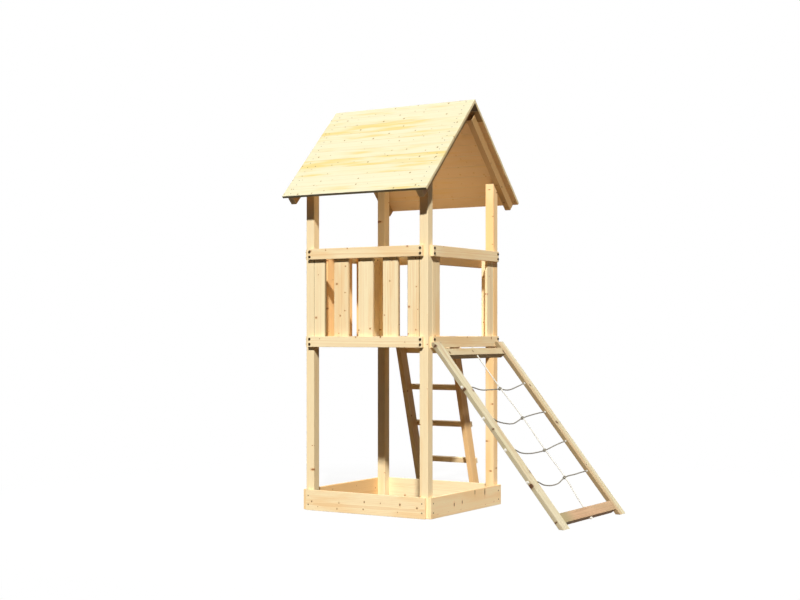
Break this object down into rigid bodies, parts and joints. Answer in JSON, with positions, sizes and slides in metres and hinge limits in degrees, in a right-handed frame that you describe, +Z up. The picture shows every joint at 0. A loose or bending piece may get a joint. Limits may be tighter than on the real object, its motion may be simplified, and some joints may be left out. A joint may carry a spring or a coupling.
{
  "type": "play tower",
  "caption": "Timber play tower with a railed platform under a pitched roof, a sandbox at its feet, a ladder and a rope net ramp.",
  "frame": {"origin": "centre of the whole object's outline on the ground", "axes": "+Z up, front towards -Y, net ramp comes down towards +X, ladder at +Y"},
  "size_m": [2.111, 1.6414, 2.9118],
  "materials": {
    "planed_spruce": "planed, untreated",
    "roof_spruce": "planed, untreated, sunlit",
    "treated_pine": "pressure treated, greenish",
    "red_pine": "planed, reddish heartwood",
    "grey_rope": "laid polypropylene",
    "dark_steel": "dark passivated"
  },
  "bodies": {
    "root": {"back_board_1": "planed_spruce", "back_board_2": "planed_spruce", "cross_rail": "planed_spruce", "floor_boards": "planed_spruce", "floor_joist_left": "planed_spruce", "floor_joist_middle": "planed_spruce", "floor_joist_right": "planed_spruce", "front_board_1": "planed_spruce", "front_board_2": "planed_spruce", "front_board_3": "planed_spruce", "front_board_4": "planed_spruce", "front_board_5": "planed_spruce", "handrail_back": "planed_spruce", "handrail_front": "planed_spruce", "handrail_left": "planed_spruce", "handrail_right": "planed_spruce", "ladder_rung_1": "planed_spruce", "ladder_rung_2": "planed_spruce", "ladder_rung_3": "planed_spruce", "ladder_rung_4": "planed_spruce", "ladder_stile_left": "planed_spruce", "ladder_stile_right": "planed_spruce", "left_board_1": "planed_spruce", "left_board_2": "planed_spruce", "left_board_3": "planed_spruce", "left_board_4": "planed_spruce", "left_board_5": "planed_spruce", "platform_rail_back": "planed_spruce", "platform_rail_front": "planed_spruce", "platform_rail_left": "planed_spruce", "platform_rail_right": "planed_spruce", "post_back_left": "planed_spruce", "post_back_right": "planed_spruce", "post_front_left": "planed_spruce", "post_front_right": "planed_spruce", "rafter_back_left": "planed_spruce", "rafter_back_right": "planed_spruce", "rafter_front_left": "planed_spruce", "rafter_front_right": "planed_spruce", "rafter_screw_back_left": "dark_steel", "rafter_screw_back_right": "dark_steel", "rafter_screw_front_left": "dark_steel", "rafter_screw_front_right": "dark_steel", "ramp_crossbar_bottom": "red_pine", "ramp_crossbar_top": "treated_pine", "ramp_rope_1": "grey_rope", "ramp_rope_2": "grey_rope", "ramp_rope_3": "grey_rope", "ramp_rope_4": "grey_rope", "ramp_rope_centre": "grey_rope", "ramp_stile_back": "treated_pine", "ramp_stile_front": "treated_pine", "right_board_1": "planed_spruce", "right_board_2": "planed_spruce", "roof_boards_back": "roof_spruce", "roof_boards_front": "roof_spruce", "sandbox_board_back": "planed_spruce", "sandbox_board_front": "planed_spruce", "sandbox_board_left": "planed_spruce", "sandbox_board_right": "planed_spruce"}
  },
  "joints": []
}
